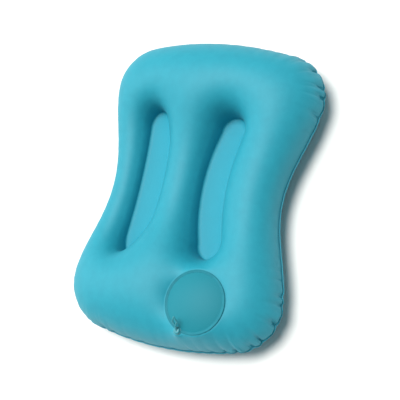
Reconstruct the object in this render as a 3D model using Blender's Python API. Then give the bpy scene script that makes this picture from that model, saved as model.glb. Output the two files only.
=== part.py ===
"""Inflatable camp pillow with a hand-press pump and a pull plug, built as separate bodies.

The pillow lies on its back. +Z is up, +X runs along the pillow to the pump end, +Y points to the wide neck roll.
Both panels share one cutting pattern. Their inflated shape comes from a membrane solve over that pattern.
"""

import math

import bmesh
import bpy
import numpy as np
from mathutils import Vector
from mathutils.geometry import delaunay_2d_cdt

# Driving dimensions, in metres.
PILLOW_LENGTH = 0.432          # between the end seams, along X
END_WIDTH = 0.316              # between the side seams at the fat ends
WAIST_NARROW_SIDE = 0.133      # centre line to seam at the waist, -Y side
WAIST_ROLL_SIDE = 0.125        # centre line to seam at the waist, +Y side
CORNER_RADIUS = 0.044
END_CROWN = 0.027              # how far the end seams bow out past their corners
FLANGE_WIDTH = 0.006           # flat weld band outside the seam
PANEL_THICKNESS = 0.0005
TOP_LOFT = 1.02                # inflation of the top panel, as a share of a round tube
BOTTOM_LOFT = 0.60
REST_FLAT_DEPTH = 0.003        # how much of each lower bulge the ground flattens

ISLAND_HALF_LENGTH = 0.103
ISLAND_HALF_WIDTH = 0.0215
ISLAND_X = -0.010
ISLAND_NARROW_Y = -0.075       # centre of the island between the narrow rib and the centre rib
ISLAND_ROLL_Y = 0.0405         # centre of the island beside the neck roll
ISLAND_NARROW_BOW = 0.004
ISLAND_ROLL_BOW = 0.013

PUMP_X = 0.156
PUMP_Y = 0.058
PUMP_HEIGHT = 0.050            # flat land round the pump above the seam plane
PUMP_OPENING_RADIUS = 0.0372
COVER_EDGE_RADIUS = 0.0364
COVER_RISE = 0.0085
COVER_WALL = 0.0012
RIM_OUTER_RADIUS = 0.0438
RIM_BAND_HEIGHT = 0.0008
RIM_BEAD_HEIGHT = 0.0009
RIM_BEAD_WIDTH = 0.0017
CUP_WALL = 0.0008
PRESS_TRAVEL = 0.008
PRESSED_FOAM = 0.014           # foam height left under a cover that is pressed home
CUP_OUTLET_RADIUS = 0.005

VALVE_OUT = 0.0440             # pump centre to valve centre
VALVE_BEARING = math.radians(-21.0)   # from +X towards -Y
SEAT_COLLAR_RADIUS = 0.0058
SEAT_COLLAR_HEIGHT = 0.0014
SEAT_TUBE_RADIUS = 0.0044
SEAT_BORE_RADIUS = 0.0036
SEAT_TUBE_LENGTH = 0.012
PLUG_HEAD_RADIUS = 0.0048
PLUG_HEAD_HEIGHT = 0.0032
PLUG_STEM_LENGTH = 0.010
LOOP_LENGTH = 0.015
LOOP_WIDTH = 0.0086
LOOP_STRAND = 0.0024
LOOP_NECK_LENGTH = 0.008
LOOP_LEAN = math.radians(45.0)

FLAP_RADIUS = 0.0085
FLAP_THICKNESS = 0.0006
FLAP_HINGE_OUT = 0.010         # outlet centre to the flap's hinge line

FLAP_TAB_WIDTH = 0.008

LAND_MARGIN = 0.0012           # level panel outside the rim and the seat
COVER_LIP = 0.0018
DOME_STEPS = 5
EDGE_ROUND = 0.0004
LOOP_THINNING = 0.85           # the diamond's strands, as a share of the neck's width
CONTACT_GAP = 0.0003           # between pieces that touch
SLIDE_GAP = 0.0003             # round a piece that slides
MESH_STEP = 0.0134             # spacing of the panel mesh
SEAM_STEP = 0.0100             # spacing along the seams
WALL_RING_IN = 0.0032          # a ring of points this far from each seam keeps its wall steep
MERGE = 0.00001                # points closer than this count as on a line
ROUND_SEGMENTS = 40


def half_width(x, waist):
    """Distance from the centre line to the side seam at station x."""
    reach = PILLOW_LENGTH / 2 - END_CROWN - 0.8 * CORNER_RADIUS
    share = min(abs(x) / reach, 1.0)
    return waist + (END_WIDTH / 2 - waist) * (1 - math.cos(math.pi * share)) / 2


def seam_depth(x, y):
    """How far a point lies inside the seam, negative outside it."""
    side = min(half_width(x, WAIST_ROLL_SIDE) - y, half_width(x, WAIST_NARROW_SIDE) + y)
    end = PILLOW_LENGTH / 2 - END_CROWN * (y / (END_WIDTH / 2)) ** 2 - abs(x)
    if side < CORNER_RADIUS and end < CORNER_RADIUS:
        return CORNER_RADIUS - math.hypot(CORNER_RADIUS - side, CORNER_RADIUS - end)
    return min(side, end)


def resampled(loop, step):
    """The closed loop with its points spaced evenly, about one step apart."""
    closed = np.vstack([loop, loop[:1]])
    along = np.concatenate([[0.0], np.cumsum(np.hypot(*np.diff(closed, axis=0).T))])
    count = int(round(along[-1] / step))
    where = np.arange(count) * along[-1] / count
    return np.column_stack([np.interp(where, along, closed[:, k]) for k in range(2)])


def offset(loop, distance):
    """The counterclockwise loop moved outwards along its normals."""
    tangent = np.roll(loop, -1, axis=0) - np.roll(loop, 1, axis=0)
    normal = np.column_stack([tangent[:, 1], -tangent[:, 0]])
    return loop + distance * normal / np.linalg.norm(normal, axis=1)[:, None]


def seam_loop():
    """The seam, found along rays from the centre, which the hourglass outline meets once each."""
    points = []
    for k in range(720):
        angle = math.tau * k / 720
        near, far = 0.0, PILLOW_LENGTH
        for _ in range(40):
            middle = (near + far) / 2
            inside = seam_depth(middle * math.cos(angle), middle * math.sin(angle)) > 0
            near, far = (middle, far) if inside else (near, middle)
        points.append((near * math.cos(angle), near * math.sin(angle)))
    return resampled(np.array(points), SEAM_STEP)


def island_loop(centre_y, bow):
    """A long welded island with round ends, its middle moved across by bow."""
    straight = ISLAND_HALF_LENGTH - ISLAND_HALF_WIDTH
    points = []
    for side, start in ((-1, -straight), (1, straight)):
        for k in range(40):
            x = start * (1 - 2 * k / 40)
            across = centre_y + bow * (1 - (x / straight) ** 2)
            points.append((ISLAND_X + x, across + side * ISLAND_HALF_WIDTH))
        for k in range(12):
            turn = side * math.pi / 2 + math.pi * k / 12
            x = -start + ISLAND_HALF_WIDTH * math.cos(turn)
            points.append((ISLAND_X + x, centre_y + ISLAND_HALF_WIDTH * math.sin(turn)))
    return resampled(np.array(points), SEAM_STEP)


def circle(centre, radius, step):
    count = max(int(round(math.tau * radius / step)), 20)
    angles = math.tau * np.arange(count) / count
    return np.column_stack([centre[0] + radius * np.cos(angles), centre[1] + radius * np.sin(angles)])


def within(point, loop):
    """Even-odd test of a point against a closed loop."""
    x, y = point
    a, b = loop, np.roll(loop, -1, axis=0)
    spans = (a[:, 1] > y) != (b[:, 1] > y)
    rise = np.where(spans, b[:, 1] - a[:, 1], 1.0)
    crossing = a[:, 0] + (y - a[:, 1]) * (b[:, 0] - a[:, 0]) / rise
    return np.count_nonzero(spans & (crossing > x)) % 2 == 1


def nearest(point, loops):
    return min(float(np.min(np.hypot(*(loop - point).T))) for loop in loops)


def sheet(seam, islands, holes, extra):
    """Triangulates the cutting pattern. Returns its points and triangles."""
    edge = offset(seam, FLANGE_WIDTH)
    bounds = [edge, seam] + islands + holes
    rings = [offset(seam, -WALL_RING_IN)] + [offset(island, WALL_RING_IN) for island in islands]
    loose = np.vstack(rings + extra)
    points = [tuple(p) for loop in bounds for p in loop] + [tuple(p) for p in loose]
    edges = []
    start = 0
    for loop in bounds:
        count = len(loop)
        edges += [(start + k, start + (k + 1) % count) for k in range(count)]
        start += count
    placed = [np.array(points)]
    rows = int(PILLOW_LENGTH / (MESH_STEP * math.sqrt(0.75)))
    columns = int(END_WIDTH / MESH_STEP) + 2
    for row in range(-rows // 2, rows // 2 + 1):
        for column in range(-columns // 2, columns // 2 + 1):
            x = row * MESH_STEP * math.sqrt(0.75)
            y = (column + 0.5 * (row % 2)) * MESH_STEP
            clear = seam_depth(x, y) > WALL_RING_IN and not any(within((x, y), i) for i in islands)
            clear = clear and not any(within((x, y), hole) for hole in holes)
            if clear and nearest((x, y), placed) > 0.62 * MESH_STEP:
                points.append((x, y))
    result = delaunay_2d_cdt([Vector(p) for p in points], edges, [], 0, 1e-7)
    flat = [(v.x, v.y) for v in result[0]]
    triangles = []
    for face in result[2]:
        centre = np.mean([flat[k] for k in face], axis=0)
        if within(centre, edge) and not any(within(centre, hole) for hole in holes):
            triangles.append(tuple(face))
    return np.array(flat), np.array(triangles)


def inflated(points, triangles, held):
    """Membrane under even pressure. held gives the height each fixed point is kept at."""
    count = len(points)
    stiffness = np.zeros((count, count))
    load = np.zeros(count)
    for tri in triangles:
        corner = points[tri]
        opposite = np.roll(corner, -2, axis=0) - np.roll(corner, -1, axis=0)
        area = abs(opposite[0, 0] * opposite[1, 1] - opposite[0, 1] * opposite[1, 0]) / 2
        stiffness[np.ix_(tri, tri)] += opposite @ opposite.T / (4 * area)
        load[tri] += area / 3
    known = np.array(sorted(held))
    free = np.setdiff1d(np.arange(count), known)
    rise = np.zeros(count)
    rise[known] = np.array([held[k] ** 2 / 2 for k in known])
    pull = load[free] - stiffness[np.ix_(free, known)] @ rise[known]
    rise[free] = np.linalg.solve(stiffness[np.ix_(free, free)], pull)
    return np.sqrt(2 * np.maximum(rise, 0.0))


def welded(points, seam, islands):
    """Indices of the points on the flange, the seam and the islands."""
    fixed = []
    for k, point in enumerate(points):
        on_line = nearest(point, [seam] + islands) < 1e-5
        if on_line or not within(point, seam) or any(within(point, i) for i in islands):
            fixed.append(k)
    return fixed


def material(name, colour, roughness):
    made = bpy.data.materials.new(name)
    made.use_nodes = True
    shader = made.node_tree.nodes["Principled BSDF"]
    shader.inputs["Base Color"].default_value = (*colour, 1.0)
    shader.inputs["Roughness"].default_value = roughness
    return made


def place(name, bm, look, parent, location, smooth=True):
    """Makes an object from the bmesh, in its own material."""
    bmesh.ops.recalc_face_normals(bm, faces=bm.faces)
    mesh = bpy.data.meshes.new(name)
    bm.to_mesh(mesh)
    bm.free()
    mesh.materials.append(look)
    if smooth:
        mesh.shade_smooth()
    made = bpy.data.objects.new(name, mesh)
    bpy.context.collection.objects.link(made)
    made.parent = parent
    made.location = location
    return made


def empty(name, parent, location):
    made = bpy.data.objects.new(name, None)
    bpy.context.collection.objects.link(made)
    made.parent = parent
    made.location = location
    return made


def lathe(profile):
    """Turns a closed profile of radius and height pairs about Z."""
    bm = bmesh.new()
    ring = [bm.verts.new((radius, 0, height)) for radius, height in profile]
    edges = [bm.edges.new((ring[k], ring[(k + 1) % len(ring)])) for k in range(len(ring))]
    bmesh.ops.spin(bm, geom=ring + edges, cent=(0, 0, 0), axis=(0, 0, 1), angle=math.tau,
                   steps=ROUND_SEGMENTS, use_merge=True)
    bmesh.ops.remove_doubles(bm, verts=bm.verts, dist=1e-6)
    bmesh.ops.dissolve_degenerate(bm, edges=bm.edges, dist=1e-6)
    return bm


def prism(outline, low, high):
    """A straight-sided solid on a closed outline in the XY plane."""
    bm = bmesh.new()
    face = bm.faces.new([bm.verts.new((x, y, low)) for x, y in outline])
    raised = bmesh.ops.extrude_face_region(bm, geom=[face])["geom"]
    verts = [item for item in raised if isinstance(item, bmesh.types.BMVert)]
    bmesh.ops.translate(bm, vec=(0, 0, high - low), verts=verts)
    return bm


def boolean(target, tool, operation):
    """Adds an exact Boolean and keeps its tool as a hidden wire shape."""
    tool.hide_render = True
    tool.display_type = "WIRE"
    step = target.modifiers.new(tool.name, "BOOLEAN")
    step.operation = operation
    step.solver = "EXACT"
    step.object = tool
    return step


def panel(name, points, triangles, heights, outwards, look, parent, location):
    """A laminate sheet of even thickness, its skin growing outwards from the heights given."""
    bm = bmesh.new()
    verts = [bm.verts.new((x, y, z)) for (x, y), z in zip(points, heights)]
    for a, b, c in triangles:
        bm.faces.new((verts[a], verts[b], verts[c]))
    bmesh.ops.recalc_face_normals(bm, faces=bm.faces)
    bm.faces.ensure_lookup_table()
    bm.normal_update()
    if sum(face.normal.z * face.calc_area() for face in bm.faces) * outwards < 0:
        bmesh.ops.reverse_faces(bm, faces=bm.faces)
    mesh = bpy.data.meshes.new(name)
    bm.to_mesh(mesh)
    bm.free()
    mesh.materials.append(look)
    mesh.shade_smooth()
    made = bpy.data.objects.new(name, mesh)
    bpy.context.collection.objects.link(made)
    made.parent = parent
    made.location = location
    skin = made.modifiers.new("laminate", "SOLIDIFY")
    skin.thickness = PANEL_THICKNESS
    skin.offset = 1.0
    skin.use_rim = True
    return made


for old in list(bpy.data.objects):
    bpy.data.objects.remove(old, do_unlink=True)

knit_top = material("laminated_knit_top", (0.05, 0.44, 0.58), 0.85)
knit_bottom = material("laminated_knit_bottom", (0.05, 0.36, 0.48), 0.85)
knit_cover = material("pump_cover_knit", (0.06, 0.38, 0.45), 0.8)
rim_film = material("welded_rim_film", (0.04, 0.34, 0.42), 0.6)
cup_film = material("pump_cup_film", (0.55, 0.62, 0.64), 0.5)
foam_look = material("open_cell_foam", (0.75, 0.73, 0.66), 0.95)
seat_rubber = material("valve_seat_moulding", (0.05, 0.32, 0.40), 0.5)
plug_rubber = material("plug_moulding", (0.06, 0.38, 0.46), 0.5)
flap_film = material("check_flap_film", (0.45, 0.52, 0.55), 0.5)

# The cutting pattern, shared by both panels.
seam = seam_loop()
islands = [island_loop(ISLAND_NARROW_Y, ISLAND_NARROW_BOW), island_loop(ISLAND_ROLL_Y, -ISLAND_ROLL_BOW)]
pump_centre = np.array([PUMP_X, PUMP_Y])
valve_bearing = np.array([math.cos(VALVE_BEARING), math.sin(VALVE_BEARING)])
valve_centre = pump_centre + VALVE_OUT * valve_bearing

# Top panel: the pump and the valve sit on a level land.
land_radius = RIM_OUTER_RADIUS + LAND_MARGIN
valve_land_radius = SEAT_COLLAR_RADIUS + LAND_MARGIN
pump_hole = circle(pump_centre, PUMP_OPENING_RADIUS, SEAM_STEP / 2)
valve_hole = circle(valve_centre, SEAT_TUBE_RADIUS + CONTACT_GAP, SEAM_STEP / 4)
land_edge = circle(pump_centre, land_radius, SEAM_STEP / 2)
land_edge = land_edge[np.hypot(*(land_edge - valve_centre).T) > valve_land_radius + SEAM_STEP / 4]
valve_edge = circle(valve_centre, valve_land_radius, SEAM_STEP / 4)
valve_edge = valve_edge[np.hypot(*(valve_edge - pump_centre).T) > land_radius]
top_points, top_triangles = sheet(seam, islands, [pump_hole, valve_hole], [land_edge, valve_edge])
level = CONTACT_GAP / 2
held = {k: 0.0 for k in welded(top_points, seam, islands)}
for k, point in enumerate(top_points):
    on_pump = math.hypot(*(point - pump_centre)) < land_radius + MERGE
    on_valve = math.hypot(*(point - valve_centre)) < valve_land_radius + MERGE
    if on_pump or on_valve:
        held[k] = PUMP_HEIGHT / TOP_LOFT
top_heights = level + TOP_LOFT * inflated(top_points, top_triangles, held)

# Bottom panel: the ground flattens the two end bulges a little.
bottom_points, bottom_triangles = sheet(seam, islands, [], [])
held = {k: 0.0 for k in welded(bottom_points, seam, islands)}
drops = level + BOTTOM_LOFT * inflated(bottom_points, bottom_triangles, held)
end_drops = [max(drops[bottom_points[:, 0] * side > 0]) for side in (-1, 1)]
rest_drop = min(end_drops) - REST_FLAT_DEPTH
drops = np.minimum(drops, rest_drop)
seam_height = rest_drop + PANEL_THICKNESS

pillow = empty("pillow", None, (0, 0, 0))
panel("top_panel", top_points, top_triangles, top_heights, 1, knit_top, pillow, (0, 0, seam_height))
panel("bottom_panel", bottom_points, bottom_triangles, -drops, -1, knit_bottom, pillow,
      (0, 0, seam_height))

# Pump, from the top face of the land. Heights below are measured from that face.
land_top = seam_height + level + PUMP_HEIGHT + PANEL_THICKNESS
pump_axis = empty("pump_axis", pillow, (PUMP_X, PUMP_Y, land_top))
valve_axis = empty("valve_axis", pillow, (*valve_centre, land_top))

band = CONTACT_GAP + RIM_BAND_HEIGHT
crest = band + RIM_BEAD_HEIGHT
profile = [(PUMP_OPENING_RADIUS, CONTACT_GAP), (RIM_OUTER_RADIUS, CONTACT_GAP), (RIM_OUTER_RADIUS, band)]
for middle in (RIM_OUTER_RADIUS - RIM_BEAD_WIDTH, PUMP_OPENING_RADIUS + RIM_BEAD_WIDTH):
    profile += [(middle + RIM_BEAD_WIDTH / 2, band), (middle + RIM_BEAD_WIDTH / 4, crest),
                (middle - RIM_BEAD_WIDTH / 4, crest), (middle - RIM_BEAD_WIDTH / 2, band)]
profile.append((PUMP_OPENING_RADIUS, band))
rim = place("pump_rim", lathe(profile), rim_film, pump_axis, (0, 0, 0))
seat_reach = SEAT_COLLAR_RADIUS + CONTACT_GAP
bite_shape = lathe([(0, -seat_reach), (seat_reach, -seat_reach), (seat_reach, seat_reach), (0, seat_reach)])
bite = place("seat_clearance", bite_shape, rim_film, valve_axis, (0, 0, 0))
boolean(rim, bite, "DIFFERENCE")


def dome(radius, rise, drop):
    """Radius and height pairs up a shallow dome, from its edge to its top."""
    ball = (radius ** 2 + rise ** 2) / (2 * rise)
    pairs = []
    for k in range(DOME_STEPS + 1):
        reach = radius * (1 - k / DOME_STEPS)
        pairs.append((reach, math.sqrt(ball ** 2 - reach ** 2) - ball + rise + drop))
    return pairs


# The cover's lip stands just below the rim's crest, clear of the opening it slides in.
outer = dome(COVER_EDGE_RADIUS, COVER_RISE, band)
inner = dome(COVER_EDGE_RADIUS - COVER_WALL, COVER_RISE, band - COVER_WALL)
lip = [(COVER_EDGE_RADIUS - COVER_WALL, band - COVER_LIP), (COVER_EDGE_RADIUS, band - COVER_LIP)]
place("pump_cover", lathe(lip + outer + inner[::-1]), knit_cover, pump_axis, (0, 0, 0))

# The cup hangs under the panel. Its floor has the outlet to the bladder.
under_panel = -PANEL_THICKNESS - CONTACT_GAP
cup_bore = COVER_EDGE_RADIUS + SLIDE_GAP
cup_flange = VALVE_OUT - SEAT_TUBE_RADIUS - 2 * CONTACT_GAP
cup_floor = -(PRESS_TRAVEL + PRESSED_FOAM)
cup = lathe([(cup_bore, under_panel), (cup_bore, cup_floor), (CUP_OUTLET_RADIUS, cup_floor),
             (CUP_OUTLET_RADIUS, cup_floor - CUP_WALL), (cup_bore + CUP_WALL, cup_floor - CUP_WALL),
             (cup_bore + CUP_WALL, under_panel - CUP_WALL), (cup_flange, under_panel - CUP_WALL),
             (cup_flange, under_panel)])
place("pump_cup", cup, cup_film, pump_axis, (0, 0, 0))

foam_radius = COVER_EDGE_RADIUS - COVER_WALL - SLIDE_GAP
foam_bottom = cup_floor + CONTACT_GAP
foam_height = band - COVER_WALL - CONTACT_GAP - foam_bottom
foam = [(0, 0), (foam_radius, 0)] + dome(foam_radius, COVER_RISE, foam_height)
place("pump_foam", lathe(foam), foam_look, pump_axis, (0, 0, foam_bottom))

# The flap hangs by its tab from a hinge line across the pillow, under the cup floor.
hinge = empty("flap_hinge", pump_axis,
              (-FLAP_HINGE_OUT, 0, cup_floor - CUP_WALL - CONTACT_GAP - FLAP_THICKNESS / 2))
outline = [(0, FLAP_TAB_WIDTH / 2), (0, -FLAP_TAB_WIDTH / 2)]
root_angle = math.pi - math.asin(FLAP_TAB_WIDTH / 2 / FLAP_RADIUS)
for k in range(ROUND_SEGMENTS // 2 + 1):
    angle = -root_angle + 2 * root_angle * k / (ROUND_SEGMENTS // 2)
    outline.append((FLAP_HINGE_OUT + FLAP_RADIUS * math.cos(angle), FLAP_RADIUS * math.sin(angle)))
place("check_flap", prism(outline, -FLAP_THICKNESS / 2, FLAP_THICKNESS / 2), flap_film, hinge,
      (0, 0, 0), smooth=False)

# Valve seat and its plug, on the land at the rim.
collar_top = CONTACT_GAP + SEAT_COLLAR_HEIGHT
seat = lathe([(SEAT_BORE_RADIUS, collar_top), (SEAT_BORE_RADIUS, collar_top - SEAT_TUBE_LENGTH),
              (SEAT_TUBE_RADIUS, collar_top - SEAT_TUBE_LENGTH), (SEAT_TUBE_RADIUS, CONTACT_GAP),
              (SEAT_COLLAR_RADIUS, CONTACT_GAP), (SEAT_COLLAR_RADIUS, collar_top - EDGE_ROUND),
              (SEAT_COLLAR_RADIUS - EDGE_ROUND, collar_top)])
place("valve_seat", seat, seat_rubber, valve_axis, (0, 0, 0))

stem = SEAT_BORE_RADIUS - SLIDE_GAP
head_top = collar_top + CONTACT_GAP + PLUG_HEAD_HEIGHT
head_bottom = collar_top + CONTACT_GAP
plug_shape = lathe([(0, head_bottom - PLUG_STEM_LENGTH), (stem - 2 * EDGE_ROUND, head_bottom - PLUG_STEM_LENGTH),
                    (stem, head_bottom - PLUG_STEM_LENGTH + 2 * EDGE_ROUND), (stem, head_bottom),
                    (PLUG_HEAD_RADIUS, head_bottom), (PLUG_HEAD_RADIUS, head_top - 2 * EDGE_ROUND),
                    (PLUG_HEAD_RADIUS - 2 * EDGE_ROUND, head_top), (0, head_top)])
plug = place("valve_plug", plug_shape, plug_rubber, valve_axis, (0, 0, 0))

# The pull loop is a diamond on a flat neck, leaning back from the end seam.
half_strand = LOOP_STRAND / 2
neck = [(-LOOP_STRAND, -half_strand), (-LOOP_STRAND, half_strand),
        (LOOP_NECK_LENGTH + LOOP_STRAND, half_strand), (LOOP_NECK_LENGTH + LOOP_STRAND, -half_strand)]
far = LOOP_NECK_LENGTH + LOOP_LENGTH
middle = (LOOP_NECK_LENGTH + far) / 2
diamond = [(LOOP_NECK_LENGTH, 0), (middle, -LOOP_WIDTH / 2), (far, 0), (middle, LOOP_WIDTH / 2)]
share = 1 - 2 * LOOP_STRAND / LOOP_WIDTH * LOOP_THINNING
window = [(middle + (x - middle) * share, y * share) for x, y in diamond]
for name, shape, thick, operation in (("neck_shape", neck, LOOP_STRAND, "UNION"),
                                      ("loop_shape", diamond, LOOP_STRAND, "UNION"),
                                      ("loop_window", window, 3 * LOOP_STRAND, "DIFFERENCE")):
    tool = place(name, prism(shape, -thick / 2, thick / 2), plug_rubber, valve_axis,
                 (0, 0, head_top - 2 * EDGE_ROUND), smooth=False)
    tool.rotation_euler = (0, -math.pi / 2 - LOOP_LEAN, 0)
    boolean(plug, tool, operation)
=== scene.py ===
"""Looks of an inflatable camp pillow: laminated knit skins, a palm pump, a valve and its pull plug.

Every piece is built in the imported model's frame: metres, +Z up, +X to the pump end, +Y to the neck roll.
"""

import math

import bmesh
import bpy
import numpy as np
from mathutils import Matrix, Vector
from mathutils.geometry import delaunay_2d_cdt


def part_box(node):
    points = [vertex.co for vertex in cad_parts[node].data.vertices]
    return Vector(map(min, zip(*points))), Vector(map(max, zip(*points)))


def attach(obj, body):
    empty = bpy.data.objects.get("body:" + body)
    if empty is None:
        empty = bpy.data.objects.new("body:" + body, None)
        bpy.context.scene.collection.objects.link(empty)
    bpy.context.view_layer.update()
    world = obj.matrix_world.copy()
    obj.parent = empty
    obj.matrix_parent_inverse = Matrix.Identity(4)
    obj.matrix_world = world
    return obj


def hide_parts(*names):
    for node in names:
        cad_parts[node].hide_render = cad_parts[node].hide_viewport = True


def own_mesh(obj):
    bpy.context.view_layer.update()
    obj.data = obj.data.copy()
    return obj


bl_info = {
    "name": "Camp pillow",
    "version": (1, 0, 0),
    "blender": (4, 5, 0),
    "location": "3D View > Sidebar > Pillow",
    "description": "Builds the skins, pump and valve of an inflatable camp pillow",
    "category": "Object",
}

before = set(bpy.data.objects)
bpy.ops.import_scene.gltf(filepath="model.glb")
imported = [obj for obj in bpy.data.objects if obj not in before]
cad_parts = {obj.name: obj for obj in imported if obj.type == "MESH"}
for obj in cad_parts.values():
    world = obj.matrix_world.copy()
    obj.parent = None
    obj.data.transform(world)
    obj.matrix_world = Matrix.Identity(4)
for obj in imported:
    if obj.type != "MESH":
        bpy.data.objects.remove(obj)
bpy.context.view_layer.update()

FLANGE = 0.006                       # flat weld band outside the seam, as cut
TRIMMED_FLANGE = 0.0024              # what is left of it after trimming
EASE = FLANGE - TRIMMED_FLANGE       # the skins bulge this much over it
bottom_low, bottom_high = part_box("bottom_panel")
top_low, top_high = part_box("top_panel")
SEAM_HEIGHT = (bottom_high.z + top_low.z) / 2
cover_low, cover_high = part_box("pump_cover")
rim_low, rim_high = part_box("pump_rim")
PUMP = Vector(((cover_low.x + cover_high.x) / 2, (cover_low.y + cover_high.y) / 2, rim_low.z))
seat_low, seat_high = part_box("valve_seat")
VALVE = Vector(((seat_low.x + seat_high.x) / 2, (seat_low.y + seat_high.y) / 2, rim_low.z))


def millimetres(value):
    """A texture scale whose pattern repeats about every so many millimetres."""
    return 1000.0 / value


class PillowShape(bpy.types.PropertyGroup):
    """Cutting pattern and inflation."""

    length: bpy.props.FloatProperty(
        name="Length", description="Between the end seams", unit="LENGTH",
        default=bottom_high.x - bottom_low.x - 2 * TRIMMED_FLANGE - 0.001)
    end_width: bpy.props.FloatProperty(
        name="End width", description="Between the side seams at the fat ends", unit="LENGTH",
        default=bottom_high.y - bottom_low.y - 2 * TRIMMED_FLANGE - 0.0028)
    waist_narrow: bpy.props.FloatProperty(
        name="Waist, narrow side", description="Centre line to seam, beside the narrow rib",
        unit="LENGTH", default=0.133 + 0.3 * EASE)
    waist_roll: bpy.props.FloatProperty(
        name="Waist, roll side", description="Centre line to seam, beside the neck roll",
        unit="LENGTH", default=0.125 + EASE)
    corner_radius: bpy.props.FloatProperty(
        name="Corner radius", description="Of the seam at the four corners", unit="LENGTH",
        default=0.044 + EASE)
    end_crown: bpy.props.FloatProperty(
        name="End crown", description="How far the end seams bow out", unit="LENGTH", default=0.027)
    island_half_length: bpy.props.FloatProperty(
        name="Island half length", description="Of the two welded islands", unit="LENGTH",
        default=0.103)
    island_half_width: bpy.props.FloatProperty(
        name="Island half width", description="Of the two welded islands", unit="LENGTH",
        default=0.0215)
    island_shift: bpy.props.FloatProperty(
        name="Island shift", description="Of both islands along the pillow", unit="LENGTH",
        default=-0.010)
    top_loft: bpy.props.FloatProperty(
        name="Top loft", description="Inflation of the top, as a share of a round tube", default=1.02)
    bottom_loft: bpy.props.FloatProperty(
        name="Bottom loft", description="Inflation of the bottom, as a share of a round tube",
        default=0.60)
    land_height: bpy.props.FloatProperty(
        name="Pump land height", description="Of the level land round the pump above the seam",
        unit="LENGTH", default=PUMP.z - SEAM_HEIGHT - 0.0003)


class PillowColours(bpy.types.PropertyGroup):
    """Colours of the finishes."""

    knit: bpy.props.StringProperty(
        name="Knit", description="Top knit, sRGB hex", default="#1B94A9")
    knit_worn: bpy.props.StringProperty(
        name="Knit, pale", description="Where the knit's nap catches light, sRGB hex", default="#1E99AE")
    cover: bpy.props.StringProperty(
        name="Cover knit", description="Pump cover, sRGB hex", default="#128191")
    # Darker than the cover: partly the welded ring's own colour, and partly painted shade standing in for the
    # dark outline round the pump disc.
    rim: bpy.props.StringProperty(
        name="Rim weld", description="Welded ring round the pump cover, sRGB hex", default="#0F7787")
    weld: bpy.props.StringProperty(
        name="Weld", description="Knit inside the island welds, sRGB hex", default="#1299B0")
    # Painted shade: a dark strip just outside the seam that stands in for the shadow in the crease where the
    # skin's wall meets its flange.
    seam_shade_line: bpy.props.StringProperty(
        name="Weld line", description="Where the hot bar closed the seam, sRGB hex", default="#12677C")
    moulding: bpy.props.StringProperty(
        name="Moulding", description="Valve seat and plug, sRGB hex", default="#2F8F9C")


# ---------------------------------------------------------------- outline and pattern

ISLANDS = ((-0.075, 0.004), (0.0405, -0.013))     # centre across the pillow, and bow of its middle
WALL_FIRST = 0.00009                 # depth of the first ring of points in from a weld
WALL_RINGS = 14                      # each ring is deeper by the square, so they climb the wall evenly
ISLAND_RINGS = 7
ISLAND_CROWN = 0.0055                # the cloth inside each weld puffs up a little
ISLAND_TAIL = 0.048                  # the narrow-side island tapers over this length at each end
NARROW_SHARE = 0.93                  # its width, as a share of the full island's
TAIL_TAPER = 0.55                    # what it loses of that at the pump end
NOSE_TAPER = 0.22                    # and at the far end
TAIL_REACH = 0.007                   # how much further it runs towards the pump
ROLL_SHARE = 0.95                    # width of the island beside the neck roll, as a share


def half_width(x, waist, shape):
    """Centre line to seam at x, from the waist out to the fat ends along half a cosine wave."""
    reach = shape.length / 2 - shape.end_crown - 0.8 * shape.corner_radius
    share = np.minimum(np.abs(x) / reach, 1.0)
    return waist + (shape.end_width / 2 - waist) * (1 - np.cos(math.pi * share)) / 2


def seam_depth(x, y, shape):
    """How far points lie inside the seam, negative outside it."""
    side = np.minimum(half_width(x, shape.waist_roll, shape) - y,
                      half_width(x, shape.waist_narrow, shape) + y)
    end = shape.length / 2 - shape.end_crown * (y / (shape.end_width / 2)) ** 2 - np.abs(x)
    radius = shape.corner_radius
    round_corner = radius - np.hypot(radius - side, radius - end)
    return np.where((side < radius) & (end < radius), round_corner, np.minimum(side, end))


def resampled(loop, step):
    """The loop with evenly spaced points."""
    closed = np.vstack([loop, loop[:1]])
    along = np.concatenate([[0.0], np.cumsum(np.hypot(*np.diff(closed, axis=0).T))])
    count = int(round(along[-1] / step))
    where = np.arange(count) * along[-1] / count
    return np.column_stack([np.interp(where, along, closed[:, k]) for k in range(2)])


def outwards(loop):
    """Unit normals of a counterclockwise loop."""
    tangent = np.roll(loop, -1, axis=0) - np.roll(loop, 1, axis=0)
    normal = np.column_stack([tangent[:, 1], -tangent[:, 0]])
    return normal / np.linalg.norm(normal, axis=1)[:, None]


def offset(loop, distance):
    """The loop moved outwards, or inwards where distance is negative."""
    return loop + distance * outwards(loop)


def seam_loop(shape, step):
    """The seam, found by halving along rays from the centre."""
    angle = np.linspace(0, math.tau, 1440, endpoint=False)
    near, far = np.zeros(len(angle)), np.full(len(angle), shape.length)
    for _ in range(40):
        middle = (near + far) / 2
        inside = seam_depth(middle * np.cos(angle), middle * np.sin(angle), shape) > 0
        near = np.where(inside, middle, near)
        far = np.where(inside, far, middle)
    return resampled(np.column_stack([near * np.cos(angle), near * np.sin(angle)]), step)


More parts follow.
